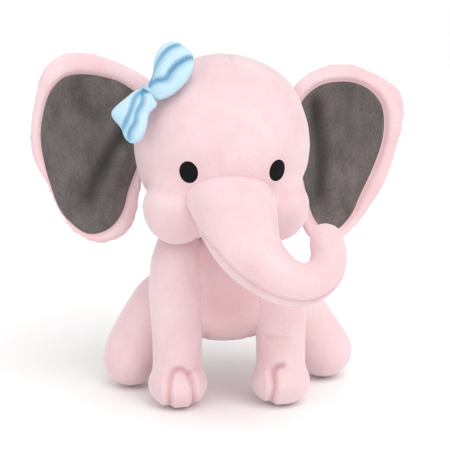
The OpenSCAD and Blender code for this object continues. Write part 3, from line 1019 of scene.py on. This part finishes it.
# %% Outlines and pleats of the bow, right and up from the pinch
knot = Vector((-57.5, -35, 219.8))
bow_edges = {
    "upper": [(0.4, 1.6), (3.7, 9.8), (4.9, 17.7), (7.2, 23.2), (10.6, 27.6), (16.1, 29.8),
              (21.5, 28.7), (26, 25.3), (28.9, 21.5), (29.3, 17.3), (28.3, 11.7), (24.8, 5.3),
              (20.5, 0.5), (14, -4.5), (6.1, -7.1), (1.2, -3.4)],
    "lower": [(1.6, 0.8), (-6.7, -0.8), (-12.4, -4.9), (-19, -10.3), (-23.1, -14.8), (-22.6, -18.7),
              (-17.5, -25), (-15.6, -30.8), (-11.9, -34.1), (-8, -33.9), (-4.7, -31), (-1.5, -23.9),
              (0.5, -15.6), (5.1, -11.2), (5.6, -8.4), (3, -3.2)]}
bow_pleats = {
    "upper": [([(0.8, 1.9), (4.1, 10.6), (8.5, 18.6), (14.3, 24.7), (20.5, 27.6)], 2.0, 5.4),
              ([(1.4, 2.2), (6, 4.9), (11.5, 6), (15, 11.1), (19.2, 15.2), (24.8, 18.6),
                (28.5, 19.2)], 2.3, 6.6),
              ([(2, -1), (6, 0.5), (10, 0.5)], 0.8, 0.6),
              ([(2, -3), (6, -3.5), (9, -3)], 0.8, 0.5)],
    "lower": [([(-1.3, -0.7), (-2.9, -1.4), (-7.8, -5.5), (-11.4, -14.2), (-15, -22.2),
                (-16.4, -25.4)], 1.9, 5.2),
              ([(-0.7, -1.3), (-3, -2.9), (-4.1, -9.2), (-7.6, -15.6), (-8.8, -21.1),
                (-12.2, -26.7), (-13, -31.5)], 1.9, 5.6),
              ([(1, -2), (1.5, -6), (0.5, -11)], 1, 0.9),
              ([(-2, -0.4), (-6, -2), (-9, -4)], 0.8, 0.5)]}
bow_middles = {"upper": (14, 10), "lower": (-9, -16)}
print("bow rim stops:", {loop: len(edge) for loop, edge in bow_edges.items()})


# %% The slope that the bow lies on
def slope(right, up):
    return knot.y - 0.45 * right + 0.42 * up


def bow_place(right, up, lift=0.0):
    """A place on the bow's own slope, given as it is seen from the front."""
    return (knot.x + right, slope(right, up) - lift, knot.z + up)


# %% Loops of the bow
def bow_loop(name, fuller=1.03):
    edge = closed_outline([(x * fuller, z * fuller) for x, z in bow_edges[name]], 5)
    bm = cut_disc(edge, bow_middles[name], 80, 12)
    raised, fullness = crowned(bm, edge)
    for vert, full in zip(list(bm.verts), fullness):
        half = 0.7 + 6.6 * full
        vert.co = at(*bow_place(vert.co.x, vert.co.y, half if vert in raised else -0.7 * half))
    bmesh.ops.recalc_face_normals(bm, faces=bm.faces)
    loop = piece_from(bm, f"bow_{name}_plush", blue_plush)
    skin_over(loop, 0.95, 3)
    for stops, width, depth in bow_pleats[name]:
        line = [(knot.x + x * fuller, knot.z + z * fuller) for x, z in stops]
        near = seen_from_front(loop, line)
        skin = millimetres(loop)
        proud = slope(skin[:, 0] - knot.x, skin[:, 2] - knot.z) - skin[:, 1]
        share = np.where(proud > 0, np.minimum(proud / 6, 1), 0.3 * np.maximum(proud / 6, -1))
        points = points_of(loop)
        points[:, 1] += depth * MM * np.exp(-(near / width) ** 2) * share
        set_points(loop, points)
        # Painted shade in the valleys of the pleats.
        valley = np.exp(-(near / (0.75 * width)) ** 2) * (proud > 0)
        paint_shade(loop, min(0.17 * depth, 0.8) * valley)
    relax(loop, 1)
    divide(loop)
    print(loop.name, "faces:", len(loop.data.polygons))
    return loop


for name in ("upper", "lower"):
    loop = bow_loop(name)
    loop.data.transform(head_turn)
    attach(loop, "bow")
    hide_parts(f"bow_{name}_loop", f"bow_{name}_filling")

# %% [markdown]
# Thread wound round the middle makes the pinch, and its ends sew the bow to the head. Each turn
# is a ring that stands square to the bow's length and lies next to the one before it.

# %% The pinch of the bow
ALONG = (0.54, 0.84)
pinch = []
for turn in (-1, 0, 1):
    x, z = (0.7 * turn * part for part in ALONG)
    ring = []
    for degrees in range(0, 361, 20):
        out = 3.2 * math.sin(math.radians(degrees)) + 0.6
        across = 3.4 * math.cos(math.radians(degrees))
        place = bow_place(x + ALONG[1] * across, z - ALONG[0] * across, out)
        ring.append(head_turn @ at(*place))
    pinch.append(ring)
blue_thread = thread_material("blue_thread", (0.50, 0.74, 0.90))
tie = thread("bow_thread", pinch, 0.45, blue_thread)
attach(tie, "bow")
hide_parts("bow_tie", "bow_stitch")
print("bow thread turns:", len(pinch))

# %% [markdown]
# ## Tail
# A short sleeve of plush with a little tuft at its end, sewn into the back seam. It is too thin
# for the cloth solver to matter, so a chain of small balls, finely skinned, is enough.

# %% Tail
tail_balls = [(0, 56, 62, 4), (0, 62, 60, 4.2), (0, 68, 49, 3.8), (0, 71, 39, 3.6),
              (0, 72.5, 35, 4), (0, 74, 30.5, 5.1), (0, 75, 27, 4.4)]
tail = stuffed("tail_plush", chain(tail_balls), pink_plush, 1.3, 4)
divide(tail)
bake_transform(tail)
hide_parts("tail_sleeve", "tail_stuffing", "tail_tuft")
print("tail faces:", len(tail.data.polygons))

# %% [markdown]
# ## Closing seam and label
# The filling goes in through a gap in the back seam, and the gap is closed by hand with short
# ladder stitches. A blank folded tape is caught in the same seam.

# %% Closing stitches
ladder = []
torso_tree = tree_of(torso)
for height in range(68, 92, 4):
    steps = [at(x, 70, height + 0.4 * x) for x in (-2.6, -1.3, 0, 1.3, 2.6)]
    ladder.append([torso_tree.ray_cast(p, Vector((0, -1, 0)))[0] for p in steps])
closing = thread("closing_thread", ladder, 0.4, pink_thread)
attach(closing, "torso")
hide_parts("closing_stitches")
print("closing stitches:", len(ladder))

# %% Label tape
label_tape, label_tree, label_shader, label_coords = new_finish("label_tape")
weave = add_node(label_tree, "ShaderNodeTexChecker")
weave.inputs["Scale"].default_value = 2500
weave.inputs["Color1"].default_value = (0.90, 0.90, 0.88, 1)
weave.inputs["Color2"].default_value = (0.80, 0.80, 0.78, 1)
label_tree.links.new(label_coords, weave.inputs["Vector"])
label_tree.links.new(weave.outputs["Color"], label_shader.inputs["Base Color"])
label_shader.inputs["Roughness"].default_value = 0.5
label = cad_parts.get("care_label")
if label:
    label.data.materials.clear()
    label.data.materials.append(label_tape)
print("label:", bool(label))

# %% [markdown]
# ## Floor and light
# A pale floor and large soft lights, as in a small studio: a wide sun for the key, a weak disc
# at the side, and a white sky. The sky lights the toy a little less than it shows, which keeps
# the background white and the plush from burning out. The floor is part of the stage, not of
# the toy.

# %% Floor
bm = bmesh.new()
bmesh.ops.create_grid(bm, x_segments=1, y_segments=1, size=6)
floor_material = bpy.data.materials.new("floor_white")
floor_material.use_nodes = True
floor_shader = floor_material.node_tree.nodes["Principled BSDF"]
floor_shader.inputs["Base Color"].default_value = (0.97, 0.97, 0.97, 1)
floor_shader.inputs["Roughness"].default_value = 0.9
floor = piece_from(bm, "floor", floor_material)

# %% Lights
def lamp(name, kind, power, colour, shining):
    data = bpy.data.lights.new(name, kind)
    data.energy = power
    data.color = colour
    made = bpy.data.objects.new(name, data)
    bpy.context.collection.objects.link(made)
    made.rotation_mode = "QUATERNION"
    made.rotation_quaternion = shining.to_track_quat("-Z", "Y")
    print("light:", name, power)
    return made


key = lamp("key", "SUN", 1.6, (1, 0.985, 0.965), Vector((-0.35, 0.75, -1.0)))
key.data.angle = math.radians(55)
fill_place = Vector((-0.9, -0.7, 0.6))
fill = lamp("fill", "AREA", 1.2, (0.95, 0.96, 1), Vector((0, 0, 0.13)) - fill_place)
fill.data.shape = "DISK"
fill.data.size = 0.9
fill.location = fill_place

# %% White sky
world = bpy.data.worlds.new("studio")
world.use_nodes = True
backdrop = world.node_tree.nodes["Background"]
backdrop.inputs["Color"].default_value = (1, 1, 1, 1)
seen = add_node(world.node_tree, "ShaderNodeLightPath").outputs["Is Camera Ray"]
brightness = add_node(world.node_tree, "ShaderNodeMapRange")
brightness.inputs["To Min"].default_value = 0.72
brightness.inputs["To Max"].default_value = 1.0
world.node_tree.links.new(seen, brightness.inputs["Value"])
world.node_tree.links.new(brightness.outputs["Result"], backdrop.inputs["Strength"])
bpy.context.scene.world = world
bpy.context.scene.view_settings.view_transform = "Standard"
print("sky:", world.name)
